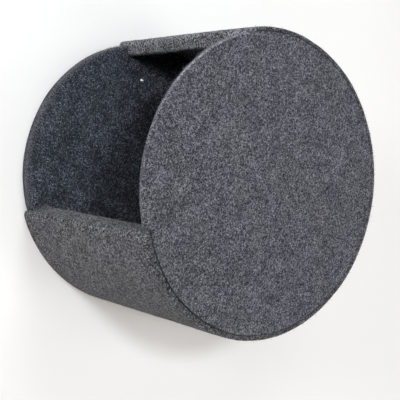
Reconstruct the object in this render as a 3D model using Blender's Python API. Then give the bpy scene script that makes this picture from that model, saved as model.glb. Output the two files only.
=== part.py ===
"""A felt cat cave that is screwed to a room's wall.

It is a drum lying on its side. The drum's axis is Y and its back is at y = 0, against the room's
wall; its front is at y = -DEPTH. Angles are degrees seen from the front, from +X (right) towards
+Z (up). A single thick felt sheet makes the round wall. It stops short of a full turn, which
leaves the way in at the upper left, and both of its ends are turned in as lips between the panels.
Units are metres.
"""

import math

import bmesh
import bpy

# The drum.
RADIUS = 0.200
DEPTH = 0.300
FELT = 0.006
GAP = 0.0003                    # room between pieces that touch

# The way in, between the two turned-in ends of the wall's sheet.
UPPER_LIP_ANGLE = 99.0
LOWER_LIP_ANGLE = -166.7
UPPER_LIP_REACH = 0.0225        # from the drum's outside to the lip's inner end
LOWER_LIP_REACH = 0.0250
FOLD_RADIUS = 0.0078            # outside of the soft fold between wall and lip
LIP_END_RADIUS = 0.0015         # rounding of the sheet's cut end

# The two panels, which the wall's sheet wraps.
PANEL_RADIUS = 0.1935
FRONT_INSET = 0.0005            # the front panel lies this far behind the wall's front edge
FRONT_THICKNESS = 0.006
FRONT_SOFTNESS = 0.0012         # rounding of the panel's front edge
BACK_THICKNESS = 0.020
BACK_SOFTNESS = 0.0045

# The screw that holds the back panel to the room's wall.
SCREW_ACROSS = -0.0035
SCREW_HEIGHT = 0.1405
SCREW_HEAD_RADIUS = 0.0030
SCREW_HEAD_HEIGHT = 0.0020
SCREW_SHANK_RADIUS = 0.0017
SCREW_END_DEPTH = 0.0010        # the shank stops this far inside the panel's back

# Smoothness of the round shapes.
ARC_STEP = 2.5                  # degrees between corners on the drum
DRUM_SIDES = round(360 / ARC_STEP)
FOLD_STEPS = 6
ROUNDING_STEPS = 4
SCREW_SIDES = 20
SMOOTH_BELOW = math.radians(40)
CUT_PAST = 0.001                # how far a cutter runs past the face it enters

FELT_GREY = (0.105, 0.107, 0.125, 1.0)
FELT_SHADE = (0.075, 0.082, 0.098, 1.0)
ZINC = (0.86, 0.87, 0.88, 1.0)


def clear_scene():
    for thing in list(bpy.data.objects):
        bpy.data.objects.remove(thing, do_unlink=True)


def make_material(name, colour, roughness, metallic=0.0):
    material = bpy.data.materials.new(name)
    material.use_nodes = True
    shader = material.node_tree.nodes["Principled BSDF"]
    shader.inputs["Base Color"].default_value = colour
    shader.inputs["Roughness"].default_value = roughness
    shader.inputs["Metallic"].default_value = metallic
    return material


def make_object(name, shape, material):
    """Turn a bmesh into a named object with smooth round faces."""
    bmesh.ops.recalc_face_normals(shape, faces=shape.faces)
    mesh = bpy.data.meshes.new(name)
    shape.to_mesh(mesh)
    shape.free()
    mesh.shade_smooth()
    mesh.set_sharp_from_angle(angle=SMOOTH_BELOW)
    mesh.materials.append(material)
    made = bpy.data.objects.new(name, mesh)
    bpy.context.collection.objects.link(made)
    return made


def arc(centre, radius, first, last, steps):
    """Points along an arc, both ends included, from one angle in degrees to another."""
    points = []
    for step in range(steps + 1):
        turn = math.radians(first + (last - first) * step / steps)
        points.append((centre[0] + radius * math.cos(turn), centre[1] + radius * math.sin(turn)))
    return points


def lip_outline(angle, reach, side):
    """One turned-in end of the sheet: points (x, z) round the fold, down the lip and back.

    The lip is drawn along its own axes, outwards from the drum's axis and into the wall's body,
    and then turned to its angle. side is +1 or -1, the turn from the lip into the wall's body.
    Also gives the angle at which the drum's arc meets the fold.
    """
    fold_outwards = math.sqrt((RADIUS - FOLD_RADIUS) ** 2 - FOLD_RADIUS ** 2)
    fold_turn = math.degrees(math.atan2(FOLD_RADIUS, fold_outwards))
    fold_centre = (fold_outwards, FOLD_RADIUS)
    end = RADIUS - reach + LIP_END_RADIUS
    points = arc(fold_centre, FOLD_RADIUS, fold_turn, -90, FOLD_STEPS)
    points += arc((end, LIP_END_RADIUS), LIP_END_RADIUS, -90, -180, ROUNDING_STEPS)
    points += arc((end, FELT - LIP_END_RADIUS), LIP_END_RADIUS, 180, 90, ROUNDING_STEPS)
    points += arc(fold_centre, FOLD_RADIUS - FELT, -90, fold_turn, FOLD_STEPS)
    cosine, sine = math.cos(math.radians(angle)), math.sin(math.radians(angle))
    turned_points = [(out * cosine - side * into * sine, out * sine + side * into * cosine)
                     for out, into in points]
    return angle + side * fold_turn, turned_points


def wall_outline():
    """The sheet's closed outline across the drum, as points (x, z)."""
    upper_end, upper_lip = lip_outline(UPPER_LIP_ANGLE, UPPER_LIP_REACH, -1)
    lower_end, lower_lip = lip_outline(LOWER_LIP_ANGLE, LOWER_LIP_REACH, 1)
    steps = round((upper_end - lower_end) / ARC_STEP)
    outside = arc((0, 0), RADIUS, lower_end, upper_end, steps)
    inside = arc((0, 0), RADIUS - FELT, upper_end, lower_end, steps)
    return outside[:-1] + upper_lip + inside[1:-1] + lower_lip[::-1][:-1]


def extrude_outline(outline, front, back):
    """A solid with an outline (x, z) at y = front, carried straight to y = back."""
    shape = bmesh.new()
    face = shape.faces.new([shape.verts.new((x, front, z)) for x, z in outline])
    carried = bmesh.ops.extrude_face_region(shape, geom=[face])["geom"]
    corners = [item for item in carried if isinstance(item, bmesh.types.BMVert)]
    bmesh.ops.translate(shape, verts=corners, vec=(0, back - front, 0))
    return shape


def turned_solid(profile, sides, centre=(0, 0)):
    """A solid turned about a line along Y through centre (x, z), from points (distance, y)."""
    shape = bmesh.new()
    rings = []
    for distance, y in profile:
        circle = arc(centre, distance, 0, 360, sides)[:-1]
        rings.append([shape.verts.new((x, y, z)) for x, z in circle])
    for ring, next_ring in zip(rings, rings[1:]):
        for side in range(sides):
            after = (side + 1) % sides
            shape.faces.new((ring[side], ring[after], next_ring[after], next_ring[side]))
    shape.faces.new(rings[0])
    shape.faces.new(rings[-1][::-1])
    return shape


def panel_solid(front, back, softness):
    """A round panel between two values of y, with its front edge rounded."""
    rounding = arc((PANEL_RADIUS - softness, -softness), softness, 90, 0, ROUNDING_STEPS)
    profile = [(distance, front - depth) for distance, depth in rounding]
    profile.append((PANEL_RADIUS, back))
    return turned_solid(profile, DRUM_SIDES)


def cut_away(target, shape, name):
    """Subtract a shape from an object and leave the cutter as a hidden guide."""
    cutter = make_object(name, shape, target.data.materials[0])
    cutter.hide_render = True
    cutter.display_type = "WIRE"
    cut = target.modifiers.new(name, "BOOLEAN")
    cut.operation = "DIFFERENCE"
    cut.solver = "EXACT"
    cut.object = cutter


def add_wall(material):
    """The felt sheet, with its lips cut away where the two panels sit."""
    wall = make_object("wall", extrude_outline(wall_outline(), -DEPTH, 0), material)
    seat_radius = PANEL_RADIUS + GAP
    front_seat = -DEPTH + FRONT_INSET + FRONT_THICKNESS + GAP
    back_seat = -BACK_THICKNESS - GAP
    front_cutter = turned_solid([(seat_radius, -DEPTH - CUT_PAST), (seat_radius, front_seat)],
                                DRUM_SIDES)
    back_cutter = turned_solid([(seat_radius, back_seat), (seat_radius, CUT_PAST)], DRUM_SIDES)
    cut_away(wall, front_cutter, "front_seat_cutter")
    cut_away(wall, back_cutter, "back_seat_cutter")


def add_front_panel(material):
    face = -DEPTH + FRONT_INSET
    make_object("front_panel", panel_solid(face, face + FRONT_THICKNESS, FRONT_SOFTNESS), material)


def add_back_panel(material):
    panel = make_object("back_panel", panel_solid(-BACK_THICKNESS, 0, BACK_SOFTNESS), material)
    hole_radius = SCREW_SHANK_RADIUS + GAP
    hole = turned_solid([(hole_radius, -BACK_THICKNESS - CUT_PAST), (hole_radius, CUT_PAST)],
                        SCREW_SIDES, (SCREW_ACROSS, SCREW_HEIGHT))
    cut_away(panel, hole, "screw_hole_cutter")


def add_screw(material):
    """A domed head on the back panel's face, and the shank through the panel."""
    under_head = -BACK_THICKNESS - GAP
    profile = [(SCREW_SHANK_RADIUS, -SCREW_END_DEPTH), (SCREW_SHANK_RADIUS, under_head)]
    for step in range(ROUNDING_STEPS):
        turn = math.radians(90 * step / ROUNDING_STEPS)
        profile.append((SCREW_HEAD_RADIUS * math.cos(turn),
                        under_head - SCREW_HEAD_HEIGHT * math.sin(turn)))
    screw = turned_solid(profile, SCREW_SIDES, (SCREW_ACROSS, SCREW_HEIGHT))
    make_object("mounting_screw", screw, material)


def main():
    clear_scene()
    add_wall(make_material("wall_felt", FELT_GREY, 0.95))
    add_front_panel(make_material("front_felt", FELT_GREY, 0.95))
    add_back_panel(make_material("back_felt", FELT_SHADE, 0.95))
    add_screw(make_material("screw_zinc", ZINC, 0.3, 1.0))


main()
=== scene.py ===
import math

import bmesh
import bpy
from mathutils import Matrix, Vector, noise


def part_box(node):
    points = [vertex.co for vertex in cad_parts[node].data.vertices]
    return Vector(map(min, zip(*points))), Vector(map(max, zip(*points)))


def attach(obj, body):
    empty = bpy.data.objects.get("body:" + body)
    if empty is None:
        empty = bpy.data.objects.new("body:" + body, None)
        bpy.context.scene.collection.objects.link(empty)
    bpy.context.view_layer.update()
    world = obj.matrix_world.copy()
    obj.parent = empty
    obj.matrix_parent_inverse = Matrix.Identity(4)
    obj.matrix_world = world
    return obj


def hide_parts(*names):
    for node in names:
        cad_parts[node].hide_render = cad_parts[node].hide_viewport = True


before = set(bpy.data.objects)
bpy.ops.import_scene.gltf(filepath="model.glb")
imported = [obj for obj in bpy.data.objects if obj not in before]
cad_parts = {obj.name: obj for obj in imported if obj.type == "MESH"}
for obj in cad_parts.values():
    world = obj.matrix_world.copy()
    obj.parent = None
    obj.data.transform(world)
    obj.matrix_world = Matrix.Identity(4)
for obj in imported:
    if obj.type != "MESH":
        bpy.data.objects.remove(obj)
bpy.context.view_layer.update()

# A felt cat cave, screwed to a room's wall: its finished felt, its screw, and the studio round it.
#
# The drum's axis is Y and its back is at y = 0, on the room's wall. Angles are degrees seen from the
# front, from +X (right) towards +Z (up). Every felt piece is built as flat felt first, with an
# outline (along, across) and a thickness, and is then laid in its place. Units are metres.

MM = 0.001

# The cave's sizes, from the frame.
RADIUS = round(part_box("wall")[1].x, 4)
DRUM_FRONT = round(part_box("wall")[0].y, 4)
PANEL_RADIUS = round(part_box("front_panel")[1].x, 4)
DISC_FRONT = round(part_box("front_panel")[0].y, 4)
DISC_BACK = round(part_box("front_panel")[1].y, 4)
BOARD_FRONT = round(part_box("back_panel")[0].y, 4)
SCREW_LOW, SCREW_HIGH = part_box("mounting_screw")
SCREW_PLACE = Vector(((SCREW_LOW.x + SCREW_HIGH.x) / 2, (SCREW_LOW.z + SCREW_HIGH.z) / 2))
SCREW_HEAD_RADIUS = (SCREW_HIGH.x - SCREW_LOW.x) / 2
GAP = 0.3 * MM                  # room between pieces that touch
FELT = 6 * MM

# The way in, between the two turned-in ends of the wall's sheet.
UPPER_LIP_ANGLE = 99.0
UPPER_LIP_SKEW = 0.45           # degrees that the lip leans at each end of the drum
UPPER_LIP_REACH = 20.6 * MM     # from the drum's outside to the lip's inner end
UPPER_LIP_SPARE = 1.0 * MM      # how much further the lip reaches at the back
UPPER_LIP_COVER = 1.5           # degrees past its angle that the lip still hides a panel's edge
LOWER_LIP_ANGLE = -166.7
LOWER_LIP_REACH = 25.5 * MM
LOWER_LIP_SPARE = 2.6 * MM
LOWER_LIP_COVER = 2.0
LOWER_LIP_CURL = 1.2 * MM       # how far the lip's inner end curls up at the back
LOWER_LIP_PUCKER = 1.3 * MM     # how far the lip is pushed up beside the back board
PUCKER_PLACE = -24 * MM         # in y
PUCKER_SPREAD = 20 * MM
PUCKER_START = 6 * MM           # how far in from the fold it begins
FOLD_RADIUS = 7.8 * MM          # outside of the soft fold between wall and lip

# The sheet's own spring makes the drum a little wider opposite the way in.
SPRING_OUT = 2.4 * MM
SPRING_SPREAD = 55.0            # degrees over which it fades

# The wall's front rim, which is pared down to run round the front panel, and the seam inside it.
RIM_START = DRUM_FRONT + 14.0 * MM
RIM_FULL = DRUM_FRONT + 7.5 * MM
RIM_BULGE = 7.6 * MM            # extra width of the rim beside the lower lip
RIM_BULGE_START = 1.0           # degrees from the lip's angle
RIM_BULGE_SPREAD = 34.0         # degrees over which it fades
SEAM_RADIUS = 194.4 * MM
SEAM_WIDTH = 0.3 * MM           # where the two press tightest
SEAM_SLACK = 0.9 * MM           # extra width where they gape most
SEAM_GAPES = ((-150, 36, 1.0), (86, 26, 0.25))  # angle, spread and share of each slack stretch
SEAM_SHADE_REACH = 1.5 * MM     # how far beside the seam the felt is darkened as painted shade
SEAM_SHADE_CORE = 0.5 * MM      # how far it is darkest
SEAM_SHADE_DEPTH = 2 * MM       # how far behind the front panel it goes on

# Painted light from above: the folds and lips are painted paler, by up to 1 on the upper one.
UPPER_LIP_PAINTED_LIGHT = 0.45
LOWER_FOLD_PAINTED_LIGHT = 0.2
UPPER_PAINTED_LIGHT_ENDS = (-5, -2)      # degrees from the lip's angle over which the painted light sets in
LOWER_PAINTED_LIGHT_ENDS = (4, 2)
FOLD_PAINTED_LIGHT_BAND = (RADIUS - 12 * MM, RADIUS - 3 * MM)    # from the drum's axis

FELT_EDGE = 1.7 * MM            # softness of a cut felt edge
SEAM_EDGE = 0.6 * MM            # the same where rim and front panel meet
LIP_EDGE = 2.8 * MM             # softness of the lips' cut ends, which are rounder
LIP_EDGE_BAND = (6 * MM, 12 * MM)       # how far past the fold the edge turns that round
BOARD_EDGE = 4.8 * MM           # softness of the back board's covered edge
BOARD_BACK_EDGE = 1.0 * MM
WALL_CLEARANCE = 0.2 * MM       # felt stays this far off the room's wall

# Distances from the axis over which the sheet's edge steps from a lip's end out to the full depth.
LOWER_FRONT_STEP = (184.0 * MM, 190.5 * MM)
UPPER_FRONT_STEP = (192.5 * MM, 195.8 * MM)
BACK_STEP = (190.5 * MM, 194.8 * MM)

CELL = 2.9 * MM                 # felt mesh spacing
FINE_CELL = 1.1 * MM            # the same on folds and lips
EDGE_CELL = 1.3 * FINE_CELL     # across the sheet, near its front and back edge
EDGE_BAND = 14 * MM             # how far in from those edges the mesh is that fine
EDGE_STEPS = 4                  # round each corner of a felt edge
STRAIGHT_STEPS = 3              # between its two corners

# Hand-laid felt is uneven in waves: the length of each and how far it strays.
UNEVENNESS_SEED = 4             # any number but 0, which would give new felt on each run
UNEVEN_WAVES = ((75 * MM, 0.55 * MM), (21 * MM, 0.22 * MM), (7.5 * MM, 0.12 * MM))


def smooth_step(low, high, value):
    """0 before low and 1 past high, with a soft change between; high may lie below low."""
    share = min(1.0, max(0.0, (value - low) / (high - low)))
    return share * share * (3 - 2 * share)


def lerp(first, last, share):
    """The value that lies a share of the way from first to last."""
    return first + (last - first) * share


def hump(distance, width):
    """1 at no distance, which fades softly over the width."""
    return math.exp(-(distance / width) ** 2)


def spaced(first, last, step):
    """Evenly spaced values from first to last, both included, about a step apart."""
    count = max(1, round(abs(last - first) / step))
    return [lerp(first, last, i / count) for i in range(count + 1)]


def heading(turn):
    """The unit direction (right, up) at a turn in radians."""
    return Vector((math.cos(turn), math.sin(turn)))


def angle_of(point):
    """The angle in degrees at which a point stands about the drum's axis."""
    return math.degrees(math.atan2(point.z, point.x))


def from_axis(point):
    return math.hypot(point.x, point.z)


def front_share(y):
    """0 at the back of the drum and 1 at its front."""
    return y / DRUM_FRONT


# ------------ felt as flat pieces

def unevenness(point):
    """How far hand-laid felt strays from its true place, as an offset."""
    stray = Vector((0, 0, 0))
    for length, height in UNEVEN_WAVES:
        stray += noise.noise_vector(point / length) * height
    return stray


def border_of(grid):
    """Indices (row, column) round a grid's edge, once round."""
    rows, columns = len(grid), len(grid[0])
    border = [(0, column) for column in range(columns)]
    border += [(row, columns - 1) for row in range(1, rows)]
    border += [(rows - 1, column) for column in range(columns - 2, -1, -1)]
    border += [(row, 0) for row in range(rows - 2, 0, -1)]
    return border


def outward_directions(points):
    """Unit directions out of a closed outline at each of its points."""
    count = len(points)
    area = sum(points[i - 1].x * points[i].y - points[i].x * points[i - 1].y for i in range(count))
    turn = 1 if area > 0 else -1
    directions = []
    for i in range(count):
        along = points[(i + 1) % count] - points[i - 1]
        directions.append(Vector((along.y, -along.x)).normalized() * turn)
    return directions


def rim_profile(thickness, reach, face_edge, back_edge):
    """Steps (out, height) round a felt edge, from the face's side to the back's."""
    half = thickness / 2
    straight = thickness - face_edge - back_edge
    turns = [math.radians(90 * step / EDGE_STEPS) for step in range(EDGE_STEPS + 1)]
    steps = [(max(0.0, reach - face_edge * (1 - math.sin(turn))),
              half - face_edge * (1 - math.cos(turn))) for turn in turns[1:]]
    steps += [(reach, half - face_edge - straight * step / STRAIGHT_STEPS)
              for step in range(1, STRAIGHT_STEPS)]
    steps += [(max(0.0, reach - back_edge * (1 - math.cos(turn))),
               -half + back_edge * (1 - math.sin(turn))) for turn in turns[:-1]]
    return steps


def join_loops(shape, loops):
    """Faces between closed loops of vertices, each loop with the next."""
    count = len(loops[0])
    for i in range(count):
        after = (i + 1) % count
        for ring, next_ring in zip(loops, loops[1:]):
            shape.faces.new((ring[i], next_ring[i], next_ring[after], ring[after]))


def finish_object(name, shape, material):
    """Turn a bmesh into a named object with its material."""
    mesh = bpy.data.meshes.new(name)
    shape.to_mesh(mesh)
    shape.free()
    mesh.materials.append(material)
    made = bpy.data.objects.new(name, mesh)
    bpy.context.collection.objects.link(made)
    return made


def felt_piece(name, grid, thickness, edges_at, place, fuzz_at, material, painted_light_at=None):
    """One closed felt solid from a grid of flat points, which stops short of its cut edges.

    edges_at(point) says how far the edge stands out from the grid, and the roundings of its face's
    side and its back's. place(along, across, height) lays a point of the flat felt; height is
    measured from the middle of the felt towards its face. fuzz_at(point, side) says how thickly
    loose fibres stand on a point of its face (side 1), its back (-1) or its edge (0). The last
    argument, a function of a point, says how far the felt is painted paler there as painted light.
    """
    half = thickness / 2
    shape = bmesh.new()
    cloth = shape.loops.layers.uv.new("cloth")
    marks = shape.verts.layers.float
    face_fuzz, edge_fuzz = marks.new("fuzz"), marks.new("edge_fuzz")
    shade, painted_light = marks.new("seam_shade"), marks.new("painted_light")
    flat = {}

    def add(point, height, spot, side):
        vertex = shape.verts.new(place(point.x, point.y, height))
        vertex[face_fuzz if side else edge_fuzz] = fuzz_at(vertex.co, side)
        vertex[shade] = 0.0 if side else seam_shade(vertex.co)
        vertex[painted_light] = painted_light_at(vertex.co) if painted_light_at else 0.0
        flat[vertex] = spot
        return vertex

    faces = {}
    for side in (1, -1):
        for row, points in enumerate(grid):
            for column, point in enumerate(points):
                faces[side, row, column] = add(point, side * half, point, side)
    for side in (1, -1):
        for row in range(len(grid) - 1):
            for column in range(len(grid[0]) - 1):
                corners = [faces[side, row, column], faces[side, row, column + 1],
                           faces[side, row + 1, column + 1], faces[side, row + 1, column]]
                shape.faces.new(corners[::side])

    border = border_of(grid)
    outline = [grid[row][column] for row, column in border]
    directions = outward_directions(outline)
    profiles = [rim_profile(thickness, *edges_at(point)) for point in outline]
    loops = [[faces[1, row, column] for row, column in border]]
    runs = [0.0] * len(outline)
    for step in range(len(profiles[0])):
        loop = []
        for i, (point, direction) in enumerate(zip(outline, directions)):
            out, height = profiles[i][step]
            last_out, last_height = profiles[i][step - 1] if step else (0.0, half)
            runs[i] += math.hypot(out - last_out, height - last_height)
            loop.append(add(point + direction * out, height, point + direction * runs[i], 0))
        loops.append(loop)
    loops.append([faces[-1, row, column] for row, column in border])
    join_loops(shape, loops)

    for face in shape.faces:
        face.smooth = True
        for loop in face.loops:
            loop[cloth].uv = flat[loop.vert]
    for vertex in shape.verts:
        vertex.co += unevenness(vertex.co)
        vertex.co.y = min(vertex.co.y, -WALL_CLEARANCE)
    bmesh.ops.recalc_face_normals(shape, faces=shape.faces)
    return finish_object(name, shape, material)


# ------------ the wall: one bent sheet

# The folds' place in a lip's own axes, and lengths along the sheet from its lower fold's lip end.
FOLD_OUT = math.sqrt((RADIUS - FOLD_RADIUS) ** 2 - FOLD_RADIUS ** 2)
FOLD_TURN = math.degrees(math.atan2(FOLD_RADIUS, FOLD_OUT))
FOLD_LENGTH = math.radians(90 + FOLD_TURN) * (FOLD_RADIUS - FELT / 2)
ROUND_FIRST = LOWER_LIP_ANGLE + FOLD_TURN
ROUND_LAST = UPPER_LIP_ANGLE - FOLD_TURN
ROUND_LENGTH = math.radians(ROUND_LAST - ROUND_FIRST) * (RADIUS - FELT / 2)
SHEET_ROUND_END = FOLD_LENGTH + ROUND_LENGTH
SHEET_FOLDS_END = SHEET_ROUND_END + FOLD_LENGTH
LOWER_LIP_LENGTH = FOLD_OUT - (RADIUS - LOWER_LIP_REACH)
UPPER_LIP_LENGTH = FOLD_OUT - (RADIUS - UPPER_LIP_REACH)


def on_way_in(point):
    """True between the two lips, where the panels' edges are free."""
    angle = angle_of(point)
    return UPPER_LIP_ANGLE + UPPER_LIP_COVER < angle or angle < LOWER_LIP_ANGLE - LOWER_LIP_COVER


def upper_skew(y):
    """Degrees that the upper lip is turned, from one way at the back to the other at the front."""
    return UPPER_LIP_SKEW * (1 - 2 * front_share(y))


def lip_place(angle, side, out, into):
    """A point (x, z) from a lip's own axes: out from the drum's axis, and into the wall."""
    cosine, sine = math.cos(math.radians(angle)), math.sin(math.radians(angle))
    return Vector((out * cosine - side * into * sine, out * sine + side * into * cosine))


def lower_lip_lift(distance, y):
    """How far the lower lip curls and puckers up, at a distance in from its fold."""
    curl = LOWER_LIP_CURL * (1 - front_share(y)) * smooth_step(0, LOWER_LIP_LENGTH, distance)
    pucker = LOWER_LIP_PUCKER * hump(y - PUCKER_PLACE, PUCKER_SPREAD)
    return curl + pucker * smooth_step(PUCKER_START, LOWER_LIP_LENGTH, distance)


def lip_bend(run, height, y, side):
    """A lip and its fold in its own axes (out, into); run is from the fold's lip end to the drum.

    side is 1 for the lower lip and -1 for the upper one.
    """
    if run < 0:
        lift = lower_lip_lift(-run, y) if side > 0 else 0.0
        return FOLD_OUT + run, FELT / 2 - height - lift
    turn = math.radians(lerp(-90, FOLD_TURN, run / FOLD_LENGTH))
    reach = FOLD_RADIUS - FELT / 2 + height
    return FOLD_OUT + reach * math.cos(turn), FOLD_RADIUS + reach * math.sin(turn)


def rim_share(y):
    """0 inside the drum, and 1 in the rim that runs round the front panel."""
    return smooth_step(RIM_START, RIM_FULL, y)


def spring_at(angle):
    """How far the drum's front stands out of its true round at an angle."""
    return SPRING_OUT * hump(angle, SPRING_SPREAD)


def seam_at(angle):
    """Radius of the seam between rim and front panel, which moves in beside the lower lip."""
    away = max(0.0, angle - LOWER_LIP_ANGLE - RIM_BULGE_START)
    return SEAM_RADIUS + spring_at(angle) - RIM_BULGE * math.exp(-away / RIM_BULGE_SPREAD)


def seam_slack(angle):
    """0 where rim and panel press tightest, on the right, to 1 where they gape most."""
    return sum(share * hump(angle - middle, spread) for middle, spread, share in SEAM_GAPES)


def seam_width(angle):
    return SEAM_WIDTH + SEAM_SLACK * seam_slack(angle)


def seam_shade(point):
    """How deep in the seam's painted shade a point lies, from 0 to 1."""
    angle = angle_of(point)
    if point.y > DISC_BACK + SEAM_SHADE_DEPTH or on_way_in(point):
        return 0.0
    away = abs(from_axis(point) - seam_at(angle))
    return min(1.0, seam_slack(angle)) * smooth_step(SEAM_SHADE_REACH, SEAM_SHADE_CORE, away)


def fold_painted_light(point):
    """How much paler painted light from above makes the felt: most on the upper fold, less on its
    lip and the lower one.
    """
    angle = angle_of(point)
    if angle < 0:
        return LOWER_FOLD_PAINTED_LIGHT * smooth_step(*LOWER_PAINTED_LIGHT_ENDS, angle - LOWER_LIP_ANGLE)
    on_fold = smooth_step(*FOLD_PAINTED_LIGHT_BAND, from_axis(point))
    on_lip = smooth_step(*UPPER_PAINTED_LIGHT_ENDS, angle - UPPER_LIP_ANGLE)
    return lerp(UPPER_LIP_PAINTED_LIGHT, 1.0, on_fold) * on_lip


def place_wall(along, y, height):
    """Lays the sheet: the lower lip and its fold, the round of the drum, the upper fold and lip."""
    inner = 0.5 - height / FELT
    if along < FOLD_LENGTH:
        out, into = lip_bend(along, height, y, 1)
        rim_inside = seam_at(LOWER_LIP_ANGLE) + seam_width(LOWER_LIP_ANGLE) / 2
        out -= max(0.0, out - rim_inside) * inner * rim_share(y)
        flat = lip_place(LOWER_LIP_ANGLE, 1, out, into)
    elif along > SHEET_ROUND_END:
        out, into = lip_bend(SHEET_FOLDS_END - along, height, y, -1)
        flat = lip_place(UPPER_LIP_ANGLE + upper_skew(y), -1, out, into)
    else:
        share = (along - FOLD_LENGTH) / ROUND_LENGTH
        angle = lerp(ROUND_FIRST, ROUND_LAST + upper_skew(y), share)
        radius = RADIUS - FELT / 2 + height + spring_at(angle) * front_share(y)
        rim_inside = seam_at(angle) + seam_width(angle) / 2
        radius += (rim_inside - RADIUS - spring_at(angle) + FELT) * inner * rim_share(y)
        flat = heading(math.radians(angle)) * radius
    return Vector((flat.x, y, flat.y))


def wall_edges_at(point):
    """Reach, face rounding and back rounding of the sheet's edge: rounder at its two ends."""
    past_fold = max(-point.x, point.x - SHEET_FOLDS_END)
    at_end = smooth_step(*LIP_EDGE_BAND, past_fold)
    return FELT_EDGE, lerp(FELT_EDGE, LIP_EDGE, at_end), lerp(SEAM_EDGE, LIP_EDGE, at_end)


def sheet_front(out, lower):
    """Where the sheet's front edge runs: short of the panel on the lip, full depth on the rim."""
    step = smooth_step(*(LOWER_FRONT_STEP if lower else UPPER_FRONT_STEP), out)
    return lerp(DISC_BACK + GAP, DRUM_FRONT, step)


def sheet_back(out):
    """Where its back edge runs: short of the board on the lip, and to the room's wall outside it."""
    return lerp(BOARD_FRONT - GAP, 0.0, smooth_step(*BACK_STEP, out))


def wall_rows():
    """Shares across the sheet from back to front, close together near both edges."""
    depth = -DRUM_FRONT
    marks = spaced(0, EDGE_BAND, EDGE_CELL)[:-1]
    marks += spaced(EDGE_BAND, depth - EDGE_BAND, CELL)[:-1]
    marks += spaced(depth - EDGE_BAND, depth, EDGE_CELL)
    return [mark / depth for mark in marks]


def wall_grid_point(part, station, share):
    """A flat point of the sheet; a lip's stations run from 0 at its fold to 1 or -1 at its end."""
    y = DRUM_FRONT * share
    if part == "lower":
        length = LOWER_LIP_LENGTH + LOWER_LIP_SPARE * (1 - front_share(y)) ** 0.5
        along = station * (length - FELT_EDGE)
        out = FOLD_OUT + along
    elif part == "upper":
        length = UPPER_LIP_LENGTH + UPPER_LIP_SPARE * (1 - front_share(y))
        along = SHEET_FOLDS_END + station * (length - FELT_EDGE)
        out = FOLD_OUT - (along - SHEET_FOLDS_END)
    else:
        along = station
        run = min(along, SHEET_FOLDS_END - along)
        turn = math.radians(lerp(-90, FOLD_TURN, min(1, run / FOLD_LENGTH)))
        out = FOLD_OUT + (FOLD_RADIUS - FELT / 2) * math.cos(turn)
    back = sheet_back(out) - FELT_EDGE
    front = sheet_front(out, along < SHEET_FOLDS_END / 2) + FELT_EDGE
    return Vector((along, lerp(back, front, share)))


def wall_grid():
    """Flat points of the whole sheet, from its lower end to its upper one in each row."""
    lower_lip = spaced(-1, 0, FINE_CELL / LOWER_LIP_LENGTH)[:-1]
    upper_lip = spaced(0, 1, FINE_CELL / UPPER_LIP_LENGTH)[1:]
    middle = spaced(0, FOLD_LENGTH, FINE_CELL)[:-1]
    middle += spaced(FOLD_LENGTH, SHEET_ROUND_END, CELL)[:-1]
    middle += spaced(SHEET_ROUND_END, SHEET_FOLDS_END, FINE_CELL)
    parts = ("lower", lower_lip), ("middle", middle), ("upper", upper_lip)
    return [[wall_grid_point(part, station, share) for part, stations in parts
             for station in stations] for share in wall_rows()]


# ------------ the round panels

FREE_WEAR = 0.5 * MM            # how far the free edge is worn back where a cat climbs in
FREE_WEAR_ANGLE = 132.0
FREE_WEAR_SPREAD = 30.0
LOWER_HOLD = (-2.4, 0.3)        # degrees from the lip over which the sheet takes hold of the panel
UPPER_HOLD = (6, -1)
BOARD_EASE = 2.4 * MM           # how far the board's edge is eased beside each fold
BOARD_EASE_PLACE = 3.0          # degrees inside the lip's angle
BOARD_EASE_SPREAD = 2.5
DIMPLE = 0.9 * MM               # how far the screw presses into the board's felt
DIMPLE_SPREAD = 5 * MM


def round_grid(radius_at):
    """A square grid pressed into a round one, so that its cells stay even."""
    cells = round(2 * PANEL_RADIUS / CELL)
    rows = []
    for row in range(cells + 1):
        points = []
        for column in range(cells + 1):
            across, up = 2 * column / cells - 1, 2 * row / cells - 1
            if across == 0 and up == 0:
                points.append(Vector((0, 0)))
                continue
            if abs(across) > abs(up):
                ring, turn = across, math.pi / 4 * up / across
            else:
                ring, turn = up, math.pi / 2 - math.pi / 4 * across / up
            direction = heading(turn) * (1 if ring > 0 else -1)
            angle = math.degrees(math.atan2(direction.y, direction.x))
            points.append(direction * abs(ring) * radius_at(angle))
        rows.append(points)
    return rows


def disc_radius(angle):
    """The front panel's edge: free on the way in, and up against the sheet's rim elsewhere."""
    if angle > 0:
        held = smooth_step(*UPPER_HOLD, angle - UPPER_LIP_ANGLE)
    else:
        held = smooth_step(*LOWER_HOLD, angle - LOWER_LIP_ANGLE)
    free_radius = PANEL_RADIUS - FREE_WEAR * hump(angle - FREE_WEAR_ANGLE, FREE_WEAR_SPREAD)
    held_radius = seam_at(angle) - seam_width(angle) / 2
    return lerp(free_radius, held_radius, held) - FELT_EDGE


def board_radius(angle):
    """The back board's edge, eased beside the two folds of the sheet."""
    ease = hump(angle - LOWER_LIP_ANGLE - BOARD_EASE_PLACE, BOARD_EASE_SPREAD)
    ease += hump(angle - UPPER_LIP_ANGLE + BOARD_EASE_PLACE, BOARD_EASE_SPREAD)
    return PANEL_RADIUS - BOARD_EASE * ease - BOARD_EDGE


def disc_edges_at(point):
    return FELT_EDGE, SEAM_EDGE, FELT_EDGE


def board_edges_at(point):
    return BOARD_EDGE, BOARD_EDGE, BOARD_BACK_EDGE


def place_disc(across, up, height):
    return Vector((across, (DISC_FRONT + DISC_BACK) / 2 - height, up))


def place_board(across, up, height):
    """Lays the board's felt, with a dimple in its face where the screw presses."""
    press = 0.0
    if height > 0:
        press = DIMPLE * hump((Vector((across, up)) - SCREW_PLACE).length, DIMPLE_SPREAD)
    return Vector((across, BOARD_FRONT / 2 - height + press, up))


# ------------ building blocks for node trees

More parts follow.
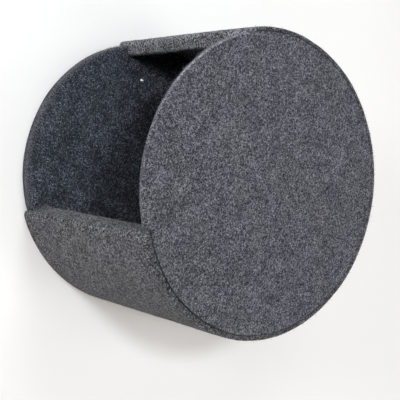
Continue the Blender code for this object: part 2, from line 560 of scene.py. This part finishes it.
class Tree:
    """Short ways to add nodes to one node tree. A socket's name is given with _ for a space."""

    def __init__(self, tree):
        self.nodes = tree.nodes
        self.links = tree.links

    def link(self, source, target):
        self.links.new(source, target)

    def feed(self, socket, value):
        """Link a socket to another one, or set its value."""
        if isinstance(value, bpy.types.NodeSocket):
            self.link(value, socket)
        else:
            socket.default_value = value

    def fill(self, node, **values):
        for key, value in values.items():
            self.feed(node.inputs[key.replace("_", " ")], value)

    def node(self, kind, settings=None, **values):
        made = self.nodes.new(kind)
        for key, value in (settings or {}).items():
            setattr(made, key, value)
        self.fill(made, **values)
        return made

    def in_order(self, kind, settings, *values):
        """The first output of a node whose first inputs are these values."""
        made = self.node(kind, settings)
        for socket, value in zip(made.inputs, values):
            self.feed(socket, value)
        return made.outputs[0]

    def maths(self, operation, *values):
        return self.in_order("ShaderNodeMath", {"operation": operation}, *values)

    def vector(self, operation, first, second):
        return self.in_order("ShaderNodeVectorMath", {"operation": operation}, first, second)

    def scaled(self, vector, scale):
        made = self.node("ShaderNodeVectorMath", {"operation": "SCALE"}, Vector=vector, Scale=scale)
        return made.outputs["Vector"]

    def random_vector(self, least, most, seed):
        made = self.node("FunctionNodeRandomValue", {"data_type": "FLOAT_VECTOR"}, Seed=seed)
        self.feed(made.inputs[0], least)
        self.feed(made.inputs[1], most)
        return made.outputs[0]

    def blend(self, share, first, second, way="MIX"):
        made = self.node("ShaderNodeMix", {"data_type": "RGBA", "blend_type": way}, Factor=share,
                         A=first, B=second)
        return made.outputs["Result"]

    def cloud(self, place, scale, detail, **more):
        """Cloudy noise, as a value about 0.5."""
        made = self.node("ShaderNodeTexNoise", Vector=place, Scale=scale, Detail=detail, **more)
        return made.outputs["Fac"]

    def spread(self, value, start, end, first, last):
        """Turns a value that runs from start to end into one that runs from first to last."""
        made = self.node("ShaderNodeMapRange", Value=value, From_Min=start, From_Max=end,
                         To_Min=first, To_Max=last)
        return made.outputs["Result"]

    def mark(self, name):
        """One of a felt piece's own attributes."""
        return self.node("ShaderNodeAttribute", {"attribute_name": name}).outputs["Fac"]

    def bump(self, height, strength, distance):
        made = self.node("ShaderNodeBump", Strength=strength, Distance=distance, Height=height)
        return made.outputs["Normal"]


def node_group(name, kind, inputs, outputs):
    """A group with sockets from tables of names and kinds: itself, its tree and its two ends."""
    group = bpy.data.node_groups.new(name, kind)
    for label, socket_kind, value in inputs:
        socket = group.interface.new_socket(label, in_out="INPUT",
                                            socket_type="NodeSocket" + socket_kind)
        if value is not None:
            socket.default_value = value
    for label, socket_kind in outputs:
        group.interface.new_socket(label, in_out="OUTPUT", socket_type="NodeSocket" + socket_kind)
    given = group.nodes.new("NodeGroupInput").outputs
    result = group.nodes.new("NodeGroupOutput").inputs
    return group, Tree(group), given, result


# ------------ loose fibres on the felt

# How thickly loose fibres stand, against 1 on an outer face.
INNER_FUZZ = 0.3
LIP_END_FUZZ = 0.35
RIM_FUZZ = 0.3
DISC_EDGE_FUZZ = 0.12
DISC_EDGE_FUZZ_AND_HIGHLIGHT_ANGLE = FREE_WEAR_ANGLE - 15     # where the front panel's edge is fuzziest and its painted highlight brightest
DISC_EDGE_FUZZ_AND_HIGHLIGHT_SPREAD = 27

# Felt that is held or hidden has none.
WALL_BARE = -5 * MM             # in y, beside the room's wall
BOARD_BARE = -7 * MM
PANEL_BARE = 1 * MM             # inside the drum, beside a panel
LIP_END_RADIUS = 182 * MM       # the lips' cut ends lie inside this distance from the axis
RIM_BAND = 1.5 * MM             # the outermost part of the rim
RIM_DEPTH = 4 * MM
DISC_HELD_BAND = 3 * MM         # the part of a panel's face beside the sheet
BOARD_HELD_BAND = 8 * MM


def wall_fuzz_at(point, side):
    if point.y > WALL_BARE:
        return 0.0
    if side < 0:
        near_panel = point.y > BOARD_FRONT - PANEL_BARE or point.y < DISC_BACK + PANEL_BARE
        return 0.0 if near_panel else INNER_FUZZ
    if side > 0:
        return 1.0
    if from_axis(point) < LIP_END_RADIUS:
        return LIP_END_FUZZ
    outermost = from_axis(point) > RADIUS - RIM_BAND and point.y < DISC_FRONT + RIM_DEPTH
    return RIM_FUZZ if outermost else 0.0


# On the front panel's edge this value also makes the felt paler: partly paler loose fibres, partly a
# painted highlight where the edge faces the light above and to the left.
def disc_fuzz_at(point, side):
    if from_axis(point) > PANEL_RADIUS - DISC_HELD_BAND and not on_way_in(point):
        return 0.0
    if side == 0:
        away = angle_of(point) % 360 - DISC_EDGE_FUZZ_AND_HIGHLIGHT_ANGLE
        return lerp(DISC_EDGE_FUZZ, 1.0, hump(away, DISC_EDGE_FUZZ_AND_HIGHLIGHT_SPREAD))
    return INNER_FUZZ if side < 0 else 1.0


def board_fuzz_at(point, side):
    if side < 0 or point.y > BOARD_BARE:
        return 0.0
    if from_axis(point) > PANEL_RADIUS - BOARD_HELD_BAND and not on_way_in(point):
        return 0.0
    return 1.0


# A loose fibre's root, bend and tip, as shares of its length.
FIBRE_ROOT = (0.0, 0.0, -0.06)
FIBRE_BEND = (0.34, 0.10, 0.50)
FIBRE_TIP = (-0.12, -0.08, 1.0)
FIBRE_SMALLEST = (0.5, 0.5, 0.45)
FIBRE_LARGEST = (1.3, 1.3, 1.35)

# What the stiffer fibres on a cut edge have that differs from those on a face.
EDGE_FIBRES = {"Where": "edge_fuzz", "Steepest": 0.1, "Flattest": 1.2, "Length": 2.6 * MM,
               "Radius": 0.10 * MM, "Fibres per Square Metre": 500000.0}


def fuzz_tree():
    """Scatters short bent fibres over a felt piece, as thickly as one of its attributes says."""
    group, tree, given, result = node_group(
        "felt fuzz", "GeometryNodeTree",
        [("Felt", "Geometry", None), ("Fibres per Square Metre", "Float", 20000.0),
         ("Where", "String", "fuzz"), ("Length", "Float", 3.2 * MM), ("Radius", "Float", 0.075 * MM),
         ("Steepest", "Float", 0.9), ("Flattest", "Float", 1.5), ("Seed", "Int", 1),
         ("Material", "Material", None)],
        [("Fibres", "Geometry")])
    share = tree.node("GeometryNodeInputNamedAttribute", {"data_type": "FLOAT"}, Name=given["Where"])
    density = tree.maths("MULTIPLY", share.outputs["Attribute"], given["Fibres per Square Metre"])
    roots = tree.node("GeometryNodeDistributePointsOnFaces", Mesh=given["Felt"], Density=density,
                      Seed=given["Seed"])
    root, bend, tip = [tree.scaled(spot, given["Length"])
                       for spot in (FIBRE_ROOT, FIBRE_BEND, FIBRE_TIP)]
    line = tree.node("GeometryNodeCurveQuadraticBezier", Resolution=3, Start=root, Middle=bend,
                     End=tip)
    section = tree.node("GeometryNodeCurvePrimitiveCircle", Resolution=3, Radius=given["Radius"])
    fibre = tree.node("GeometryNodeCurveToMesh", Curve=line.outputs["Curve"],
                      Profile_Curve=section.outputs["Curve"], Fill_Caps=True)
    least = tree.node("ShaderNodeCombineXYZ", X=given["Steepest"]).outputs[0]
    most = tree.node("ShaderNodeCombineXYZ", X=given["Flattest"], Z=2 * math.pi).outputs[0]
    lean = tree.random_vector(least, most, given["Seed"])
    lean_turn = tree.node("FunctionNodeEulerToRotation", Euler=lean).outputs[0]
    turned = tree.node("FunctionNodeRotateRotation", {"rotation_space": "LOCAL"},
                       Rotation=roots.outputs["Rotation"], Rotate_By=lean_turn)
    size = tree.random_vector(FIBRE_SMALLEST, FIBRE_LARGEST,
                              tree.maths("ADD", given["Seed"], 5.0))
    placed = tree.node("GeometryNodeInstanceOnPoints", Points=roots.outputs["Points"],
                       Instance=fibre.outputs["Mesh"], Rotation=turned.outputs[0], Scale=size)
    real = tree.node("GeometryNodeRealizeInstances", Geometry=placed.outputs["Instances"])
    finished = tree.node("GeometryNodeSetMaterial", Geometry=real.outputs["Geometry"],
                         Material=given["Material"])
    tree.link(finished.outputs["Geometry"], result["Fibres"])
    return group


def add_fuzz(name, felt, group, material, sizes):
    """A piece of loose fibres on one felt piece, from the fuzz tree with its sizes set."""
    fuzz = bpy.data.objects.new(name, felt.data.copy())
    bpy.context.collection.objects.link(fuzz)
    scatter = fuzz.modifiers.new("fuzz", "NODES")
    scatter.node_group = group
    for item in group.interface.items_tree:
        if item.name == "Material":
            scatter[item.identifier] = material
        elif item.name in sizes:
            scatter[item.identifier] = sizes[item.name]
    graph = bpy.context.evaluated_depsgraph_get()
    mesh = bpy.data.meshes.new_from_object(fuzz.evaluated_get(graph), depsgraph=graph)
    fuzz.modifiers.clear()
    mesh.name = name
    mesh.shade_smooth()
    fuzz.data = mesh
    return fuzz


# ------------ felt, fibre and metal

CLUMP_SLANT = (0.7, 0.5, 0.9)   # turns the clumps off the felt's own directions
BROAD_CLUMPS = 50.0             # noise scale of the broad clumps
SLOW_DRIFT = 14.0               # noise scale of the drift in tint
FINEST_FIBRES = 1100.0          # noise scale of the finest fibres
STRAND_TURNS = (12, 57, 101, 150)       # degrees, one for each layer of strands
STRAND_SHIFT = (7.3, 3.1, 5.7)  # keeps the layers from looking alike
STRAND_CURL = (4 * MM, 4 * MM, 0.0)
STRAND_COVER = 0.58             # the strands' mean value
SEAM_DARKNESS = 0.85            # how far the painted shade in the seam covers the felt's colour
FINE_NAP = 0.35                 # share of the finest fibres in the felt's height
NAP_HEIGHT = 0.5 * MM
NAP_STRENGTH = 0.5
PAINTED_LIGHT_PALENESS = 0.55            # how much paler painted light from above makes the felt
RIM_CALM_BAND = (DRUM_FRONT + 4 * MM, DRUM_FRONT + 1.5 * MM)    # in y, where the wall's grain calms


def clump_group():
    """Felt's cloudy heather: broad and close clumps of fibre, as one value about 0.5."""
    group, tree, given, result = node_group(
        "felt clumps", "ShaderNodeTree",
        [("Vector", "Vector", None), ("Broad", "Float", 0.8), ("Close", "Float", 1.0),
         ("Close Scale", "Float", 450.0)],
        [("Value", "Float")])
    slant = tree.node("ShaderNodeVectorRotate", {"rotation_type": "EULER_XYZ"},
                      Vector=given["Vector"], Rotation=CLUMP_SLANT).outputs[0]
    total = 0.5
    for scale, share in ((BROAD_CLUMPS, given["Broad"]), (given["Close Scale"], given["Close"])):
        cloud = tree.cloud(slant, scale, 2.0, Roughness=0.9)
        total = tree.maths("ADD", tree.maths("MULTIPLY", tree.maths("SUBTRACT", cloud, 0.5), share),
                           total)
    tree.link(total, result["Value"])
    return group


def strand_group():
    """Curly fibres lying across each other, as a value from 0 (between them) to 1 (on them)."""
    group, tree, given, result = node_group(
        "felt strands", "ShaderNodeTree",
        [("Vector", "Vector", None), ("Width", "Float", 430.0), ("Slenderness", "Float", 0.3),
         ("Sharpness", "Float", 18.0)],
        [("Value", "Float")])
    curl = tree.node("ShaderNodeTexNoise", Vector=given["Vector"], Scale=220.0, Detail=1.0)
    curl = tree.vector("SUBTRACT", curl.outputs["Color"], (0.5, 0.5, 0.5))
    moved = tree.vector("ADD", given["Vector"], tree.vector("MULTIPLY", curl, STRAND_CURL))
    length = tree.maths("MULTIPLY", given["Width"], given["Slenderness"])
    size = tree.node("ShaderNodeCombineXYZ", X=given["Width"], Y=length, Z=1.0).outputs[0]
    total = 0.0
    for layer, turn in enumerate(STRAND_TURNS):
        turned = tree.node("ShaderNodeVectorRotate", {"rotation_type": "Z_AXIS"},
                           Vector=moved, Angle=math.radians(turn)).outputs[0]
        placed = tree.vector("ADD", tree.vector("MULTIPLY", turned, size),
                             tuple(layer * shift for shift in STRAND_SHIFT))
        away = tree.maths("ABSOLUTE", tree.maths("SUBTRACT", tree.cloud(placed, 1.0, 1.0), 0.5))
        ridge = tree.maths("SUBTRACT", 1.0, tree.maths("MULTIPLY", away, given["Sharpness"]))
        total = tree.maths("MAXIMUM", ridge, total)
    tree.link(total, result["Value"])
    return group


def new_material(name):
    """An empty material with its tree and a Principled shader on its output."""
    material = bpy.data.materials.new(name)
    material.use_nodes = True
    material.node_tree.nodes.clear()
    tree = Tree(material.node_tree)
    shader = tree.node("ShaderNodeBsdfPrincipled")
    tree.node("ShaderNodeOutputMaterial", Surface=shader.outputs[0])
    return material, tree, shader


def felt_material(name, groups, shades, tint, edge_paleness_and_highlight, broad=0.6, close=1.9,
                  close_scale=450.0, lay=0.75, strand_width=430.0, halfway=0.5, rim_calm=0.0):
    """Heathered needle felt in three fibre shades, with a slow drift towards a second tint.

    broad and close are the shares of the two sizes of clump, and lay is the strands'. halfway is
    where the middle shade lies. rim_calm takes contrast away on the wall's pared rim.
    """
    dark, middle, light = [(*shade, 1) for shade in shades]
    clumps, strands = groups
    material, tree, shader = new_material(name)
    place = tree.node("ShaderNodeTexCoord").outputs["Object"]
    cloth = tree.node("ShaderNodeUVMap", {"uv_map": "cloth"}).outputs["UV"]
    clumped = tree.node("ShaderNodeGroup", {"node_tree": clumps}, Vector=place, Broad=broad,
                        Close=close, Close_Scale=close_scale).outputs["Value"]
    stranded = tree.node("ShaderNodeGroup", {"node_tree": strands}, Vector=cloth,
                         Width=strand_width).outputs["Value"]
    laid = tree.maths("MULTIPLY", tree.maths("SUBTRACT", stranded, STRAND_COVER), lay)
    stray = tree.maths("SUBTRACT", tree.maths("ADD", clumped, laid), 0.5)
    depth = tree.node("ShaderNodeSeparateXYZ", Vector=place).outputs["Y"]
    contrast = tree.spread(depth, *RIM_CALM_BAND, 1.0, 1.0 - rim_calm)
    shade = tree.maths("MULTIPLY_ADD", stray, contrast, 0.5)

    ramp = tree.node("ShaderNodeValToRGB", Fac=shade)
    first, last = ramp.color_ramp.elements
    first.position, first.color = 0.0, dark
    last.position, last.color = 1.0, light
    ramp.color_ramp.elements.new(halfway).color = middle
    drift = tree.spread(tree.cloud(place, SLOW_DRIFT, 2.0), 0.42, 0.62, 0.0, 0.6)
    tinted = tree.blend(drift, ramp.outputs["Color"], (*tint, 1), "MULTIPLY")
    # Cut edges are paler with fuzz; on the front panel's free edge this is partly a painted
    # highlight where the edge faces the light.
    paleness = tree.maths("MULTIPLY_ADD", tree.mark("edge_fuzz"), edge_paleness_and_highlight, 1.0)
    # Painted light: the felt is made paler where light from above falls on the folds and lips.
    paleness = tree.maths("MULTIPLY_ADD", tree.mark("painted_light"), PAINTED_LIGHT_PALENESS, paleness)
    # Painted shade: the felt is darkened towards its dark fibre in the seam.
    shaded = tree.maths("MULTIPLY", tree.mark("seam_shade"), SEAM_DARKNESS)
    colour = tree.blend(shaded, tree.scaled(tinted, paleness), dark)

    fine = tree.maths("MULTIPLY", tree.cloud(place, FINEST_FIBRES, 2.0), FINE_NAP)
    height = tree.maths("ADD", shade, fine)
    tree.fill(shader, Base_Color=colour, Normal=tree.bump(height, NAP_STRENGTH, NAP_HEIGHT),
              Roughness=tree.spread(shade, 0.2, 0.8, 1.0, 0.86), Specular_IOR_Level=0.12,
              Sheen_Weight=0.03, Sheen_Roughness=0.5)
    return material


def fibre_material(name, dark, light, tint):
    """Loose fibres of the same wool, mostly the paler ones, each with its own shade."""
    material, tree, shader = new_material(name)
    place = tree.node("ShaderNodeTexCoord").outputs["Object"]
    shade = tree.cloud(place, 420.0, 1.0)
    colour = tree.blend(tree.spread(shade, 0.3, 0.7, 0, 1), (*dark, 1), (*light, 1))
    drift = tree.maths("MULTIPLY", tree.cloud(place, 25.0, 2.0), 0.35)
    scales = tree.bump(tree.cloud(place, 4000.0, 1.0), 0.2, 0.02 * MM)
    tree.fill(shader, Base_Color=tree.blend(drift, colour, (*tint, 1)), Normal=scales,
              Roughness=tree.spread(shade, 0, 1, 0.75, 1.0), Specular_IOR_Level=0.2)
    return material


def zinc_material():
    """Bright zinc plate, lightly brushed and a little cloudy."""
    material, tree, shader = new_material("bright_zinc")
    place = tree.node("ShaderNodeTexCoord").outputs["Object"]
    cloud = tree.cloud(place, 900.0, 3.0)
    scratches = tree.bump(tree.cloud(place, 6000.0, 1.0), 0.1, 0.02 * MM)
    tree.fill(shader, Base_Color=tree.blend(cloud, (0.88, 0.90, 0.93, 1), (0.97, 0.98, 1.0, 1)),
              Roughness=tree.spread(cloud, 0, 1, 0.22, 0.42), Metallic=1.0, Normal=scratches)
    return material


def stage_material(name, colour):
    """Matt paint that shows from its front only, so the studio can be looked at from behind."""
    material, tree, shader = new_material(name)
    tree.fill(shader, Base_Color=(*colour, 1), Roughness=0.9, Specular_IOR_Level=0.1)
    clear = tree.node("ShaderNodeBsdfTransparent")
    behind = tree.node("ShaderNodeNewGeometry").outputs["Backfacing"]
    mix = tree.node("ShaderNodeMixShader", Fac=behind)
    tree.link(shader.outputs[0], mix.inputs[1])
    tree.link(clear.outputs[0], mix.inputs[2])
    tree.link(mix.outputs[0], tree.nodes["Material Output"].inputs["Surface"])
    return material


# ------------ the screw

SCREW_SIDES = 64
SCREW_STEPS = 18                # rings from the head's middle to its rim
SCREW_TWIST = math.radians(20)  # how far the cross recess is turned
SCREW_RIM = 0.2                 # height of the head's rim, against its middle
DOME_FULLNESS = 2.6             # how far out the head stays flat
DOME_SHOULDER = 0.6             # how steeply it then falls
SCREW_SHANK_RADIUS = 1.7 * MM
SCREW_SHANK_LENGTH = 6 * MM
RECESS_REACH = 1.75 * MM
RECESS_HALF_WIDTH = 0.42 * MM
RECESS_DEPTH = 0.9 * MM
RECESS_SOFTNESS = 0.18 * MM
SHARP_ABOVE = math.radians(40)


def recess_at(across, up):
    """1 inside the cross recess and 0 outside it, with softly pressed edges."""
    beside = smooth_step(RECESS_HALF_WIDTH - RECESS_SOFTNESS, RECESS_HALF_WIDTH + RECESS_SOFTNESS,
                         min(abs(across), abs(up)))
    beyond = smooth_step(RECESS_REACH - RECESS_SOFTNESS, RECESS_REACH + RECESS_SOFTNESS,
                         math.hypot(across, up))
    return (1 - beside) * (1 - beyond)


def head_out(distance, turn):
    """How far the head's face stands off the board, at a distance and a turn from its middle."""
    dome = max(0.0, 1 - (distance / SCREW_HEAD_RADIUS) ** DOME_FULLNESS) ** DOME_SHOULDER
    recess = recess_at(distance * math.cos(turn), distance * math.sin(turn))
    return (BOARD_FRONT - SCREW_LOW.y) * lerp(SCREW_RIM, 1.0, dome) - RECESS_DEPTH * recess


def build_screw(material):
    """A domed head with a cross recess, on a short shank."""
    shape = bmesh.new()
    turns = [2 * math.pi * side / SCREW_SIDES for side in range(SCREW_SIDES)]
    rings = []
    for step in range(1, SCREW_STEPS + 1):
        distance = SCREW_HEAD_RADIUS * step / SCREW_STEPS
        rings.append([(distance, turn, head_out(distance, turn)) for turn in turns])
    for distance, out in ((SCREW_HEAD_RADIUS, 0.0), (SCREW_SHANK_RADIUS, 0.0),
                          (SCREW_SHANK_RADIUS, -SCREW_SHANK_LENGTH)):
        rings.append([(distance, turn, out) for turn in turns])
    loops = []
    for ring in rings:
        loop = []
        for distance, turn, out in ring:
            spot = SCREW_PLACE + heading(turn + SCREW_TWIST) * distance
            loop.append(shape.verts.new((spot.x, BOARD_FRONT - out, spot.y)))
        loops.append(loop)
    join_loops(shape, loops)
    middle = shape.verts.new((SCREW_PLACE.x, BOARD_FRONT - head_out(0, 0), SCREW_PLACE.y))
    for side in range(SCREW_SIDES):
        shape.faces.new((middle, loops[0][(side + 1) % SCREW_SIDES], loops[0][side]))
    shape.faces.new(loops[-1][::-1])
    bmesh.ops.recalc_face_normals(shape, faces=shape.faces)
    screw = finish_object("screw_head", shape, material)
    screw.data.shade_smooth()
    screw.data.set_sharp_from_angle(angle=SHARP_ABOVE)
    return screw


# ------------ studio

CAMERA_PLACE = Vector((-0.7619, -1.1425, 0.0945))
CAMERA_YAW = 0.6587
CAMERA_PITCH = -0.0995
CAMERA_LENS = 80.19
CAMERA_SENSOR = 36

WALL_PAINT = (0.84, 0.84, 0.84)
FLOOR_PAINT = (0.66, 0.62, 0.56)
STAGE_REACH = 6.0               # to the left and the right
STAGE_TOP = 4.0
STAGE_FLOOR = -1.6
STAGE_FRONT = -5.0
STAGE_BACK = 0.6 * MM           # the room's wall stands just behind the cave
HOLE_SIDES = 144
BOARD_COVER = 3 * MM            # how far the board overlaps the room's wall round the hole
SHEET_COVER = 0.8 * MM          # the same for the flat of the sheet's back edge

LIGHTS = (
    # name, degrees to the left of straight ahead, degrees up, distance, width, watts, colour
    ("key", 21, 14, 3.2, 0.36, 41.6, (0.98, 1.0, 1.02)),
    ("front", 3, 4, 3.2, 1.0, 15.4, (1.005, 1.0, 0.99)),
    ("right", -50, 15, 3.2, 1.5, 9.2, (1.005, 1.0, 1.0)),
    ("top", 8, 50, 1.3, 0.6, 6.9, (0.965, 1.0, 1.005)),
    ("left", 76, 22, 3.2, 1.0, 53, (1.01, 1.0, 0.975)),
    ("low_right", -50, -25, 1.9, 0.95, 8.3, (1.05, 1.0, 0.965)),
    ("low_left", 25, -35, 1.9, 0.95, 4.5, (1.035, 1.0, 0.965)),
    ("behind", 160, 23, 3.0, 1.5, 60, (1.0, 1.0, 1.0)),
)


def add_camera():
    forward = Vector((math.sin(CAMERA_YAW) * math.cos(CAMERA_PITCH),
                      math.cos(CAMERA_YAW) * math.cos(CAMERA_PITCH), math.sin(CAMERA_PITCH)))
    right = Vector((math.cos(CAMERA_YAW), -math.sin(CAMERA_YAW), 0))
    up = right.cross(forward)
    lens = bpy.data.cameras.new("studio_camera")
    lens.sensor_width = CAMERA_SENSOR
    lens.lens = CAMERA_LENS
    camera = bpy.data.objects.new("studio_camera", lens)
    bpy.context.collection.objects.link(camera)
    placed = Matrix((right, up, -forward)).transposed().to_4x4()
    placed.translation = CAMERA_PLACE
    camera.matrix_world = placed
    bpy.context.scene.camera = camera


def hidden_radius(angle):
    """How far out the cave hides the room's wall: under the back board, or under the sheet."""
    free = (angle - UPPER_LIP_ANGLE) % 360 < (LOWER_LIP_ANGLE - UPPER_LIP_ANGLE) % 360
    return PANEL_RADIUS - BOARD_COVER if free else RADIUS - FELT_EDGE - SHEET_COVER


def hole_behind_cave():
    """A ring of points on the room's wall, all of them hidden, inside which it is left open."""
    ring = []
    for side in range(HOLE_SIDES):
        angle = 360 * side / HOLE_SIDES
        spot = heading(math.radians(angle)) * hidden_radius(angle)
        ring.append((spot.x, STAGE_BACK, spot.y))
    return ring


def room_wall_shape():
    """The room's wall, facing -Y, with its hole: fans from its four corners to the ring."""
    shape = bmesh.new()
    outer = [shape.verts.new((across, STAGE_BACK, up)) for across, up in
             ((STAGE_REACH, STAGE_TOP), (-STAGE_REACH, STAGE_TOP), (-STAGE_REACH, STAGE_FLOOR),
              (STAGE_REACH, STAGE_FLOOR))]
    inner = [shape.verts.new(point) for point in hole_behind_cave()]
    quarter = HOLE_SIDES // 4
    for corner in range(4):
        start = corner * quarter
        for step in range(start, start + quarter):
            shape.faces.new((outer[corner], inner[(step + 1) % HOLE_SIDES], inner[step]))
        shape.faces.new((outer[corner], outer[(corner + 1) % 4],
                         inner[(start + quarter) % HOLE_SIDES]))
    return shape


def floor_shape():
    shape = bmesh.new()
    shape.faces.new([shape.verts.new((across, y, STAGE_FLOOR)) for across, y in
                     ((-STAGE_REACH, STAGE_FRONT), (STAGE_REACH, STAGE_FRONT),
                      (STAGE_REACH, STAGE_BACK), (-STAGE_REACH, STAGE_BACK))])
    return shape


def add_stage():
    for name, shape, paint, colour in (("room_wall", room_wall_shape(), "wall_paint", WALL_PAINT),
                                       ("floor", floor_shape(), "floor_paint", FLOOR_PAINT)):
        finish_object(name, shape, stage_material(paint, colour))


def add_lights():
    centre = Vector((0, DRUM_FRONT / 2, 0))
    for name, left, rise, distance, width, watts, colour in LIGHTS:
        lamp = bpy.data.lights.new(name, "AREA")
        lamp.shape = "DISK"
        lamp.size = width
        lamp.energy = watts
        lamp.color = colour
        aside, above = math.radians(left), math.radians(rise)
        towards = Vector((-math.sin(aside) * math.cos(above), -math.cos(aside) * math.cos(above),
                          math.sin(above)))
        held = bpy.data.objects.new(name, lamp)
        bpy.context.collection.objects.link(held)
        held.location = centre + towards * distance
        held.rotation_mode = "QUATERNION"
        held.rotation_quaternion = (-towards).to_track_quat("-Z", "Y")


def add_surroundings():
    """Faint light from all round; the camera sees it as a pale backdrop where the stage ends."""
    world = bpy.data.worlds.new("studio_air")
    bpy.context.scene.world = world
    world.use_nodes = True
    tree = Tree(world.node_tree)
    seen = tree.node("ShaderNodeLightPath").outputs["Is Camera Ray"]
    tree.fill(tree.nodes["Background"], Color=(0.95, 0.97, 1.0, 1),
              Strength=tree.spread(seen, 0, 1, 0.03, 0.85))


# ------------ putting it together

# Dark, middle and light fibre of each felt, and the tint that it drifts towards.
WALL_SHADES = ((0.0068, 0.0069, 0.0081), (0.0247, 0.0249, 0.0294), (0.244, 0.245, 0.279))
WALL_TINT = (0.99, 1.0, 0.90)
FRONT_SHADES = ((0.0142, 0.0143, 0.0206), (0.0425, 0.0428, 0.0563), (0.237, 0.238, 0.277))
FRONT_TINT = (0.99, 1.0, 0.92)
# The back board's felt is darker and bluer than the front panel's: painted shade for the inside of
# the cave.
BACK_SHADES_AND_PAINTED_SHADE = ((0.0087, 0.0104, 0.0149), (0.0288, 0.0347, 0.0458), (0.253, 0.276, 0.324))
BACK_TINT = (0.98, 1.0, 0.98)

# Dark and light shade of the loose fibres, and their tint.
PALE_FIBRE = ((0.10, 0.10, 0.12), (0.34, 0.34, 0.38), (0.20, 0.21, 0.18))
DEEP_FIBRE = ((0.05, 0.055, 0.07), (0.22, 0.24, 0.28), (0.10, 0.11, 0.12))


def build_felt():
    """The wall's sheet, the front panel and the back board."""
    groups = clump_group(), strand_group()
    wall_felt = felt_material("wall_felt", groups, WALL_SHADES, WALL_TINT, edge_paleness_and_highlight=1.1,
                              close=2.7, close_scale=400.0, lay=1.15, strand_width=500.0,
                              halfway=0.52, rim_calm=0.4)
    front_felt = felt_material("front_felt", groups, FRONT_SHADES, FRONT_TINT, edge_paleness_and_highlight=1.7,
                               broad=0.5)
    back_felt = felt_material("back_felt", groups, BACK_SHADES_AND_PAINTED_SHADE, BACK_TINT, edge_paleness_and_highlight=0.0,
                              close=1.7, lay=0.55, halfway=0.60)
    wall = felt_piece("felt_wall", wall_grid(), FELT, wall_edges_at, place_wall, wall_fuzz_at,
                      wall_felt, fold_painted_light)
    disc = felt_piece("felt_front", round_grid(disc_radius), DISC_BACK - DISC_FRONT,
                      disc_edges_at, place_disc, disc_fuzz_at, front_felt)
    board = felt_piece("felt_back", round_grid(board_radius), -BOARD_FRONT,
                       board_edges_at, place_board, board_fuzz_at, back_felt)
    return wall, disc, board


def build_fuzz(wall, disc, board):
    """Loose fibres on the faces of the three felt pieces, then on their cut edges."""
    fuzz = fuzz_tree()
    pale_fibre = fibre_material("pale_fibre", *PALE_FIBRE)
    deep_fibre = fibre_material("deep_fibre", *DEEP_FIBRE)
    faces = [add_fuzz("wall_fuzz", wall, fuzz, pale_fibre, {"Seed": 3}),
             add_fuzz("front_fuzz", disc, fuzz, pale_fibre, {"Seed": 7}),
             add_fuzz("back_fuzz", board, fuzz, deep_fibre, {"Seed": 11})]
    edges = [add_fuzz("wall_edge_fuzz", wall, fuzz, pale_fibre, {"Seed": 5, **EDGE_FIBRES}),
             add_fuzz("front_edge_fuzz", disc, fuzz, pale_fibre, {"Seed": 9, **EDGE_FIBRES}),
             add_fuzz("back_edge_fuzz", board, fuzz, pale_fibre, {"Seed": 13, **EDGE_FIBRES})]
    return faces, edges


def main():
    noise.seed_set(UNEVENNESS_SEED)
    bpy.context.scene.view_settings.view_transform = "Standard"
    add_camera()
    add_stage()
    add_lights()
    add_surroundings()
    wall, disc, board = build_felt()
    screw = build_screw(zinc_material())
    face_fuzz, edge_fuzz = build_fuzz(wall, disc, board)
    wall_fuzz, disc_fuzz, board_fuzz = face_fuzz
    wall_edge, disc_edge, board_edge = edge_fuzz

    for piece, node, slot in ((wall, "wall", "wall_felt"), (disc, "front_panel", "front_felt"),
                              (board, "back_panel", "back_felt"),
                              (screw, "mounting_screw", "screw_metal")):
        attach(piece, "root")
        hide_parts(node)
    for piece, slot in ((wall_fuzz, "wall_felt"), (wall_edge, "wall_felt"),
                        (disc_fuzz, "front_felt"), (disc_edge, "front_felt"),
                        (board_fuzz, "back_felt"), (board_edge, "back_felt")):
        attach(piece, "root")


main()
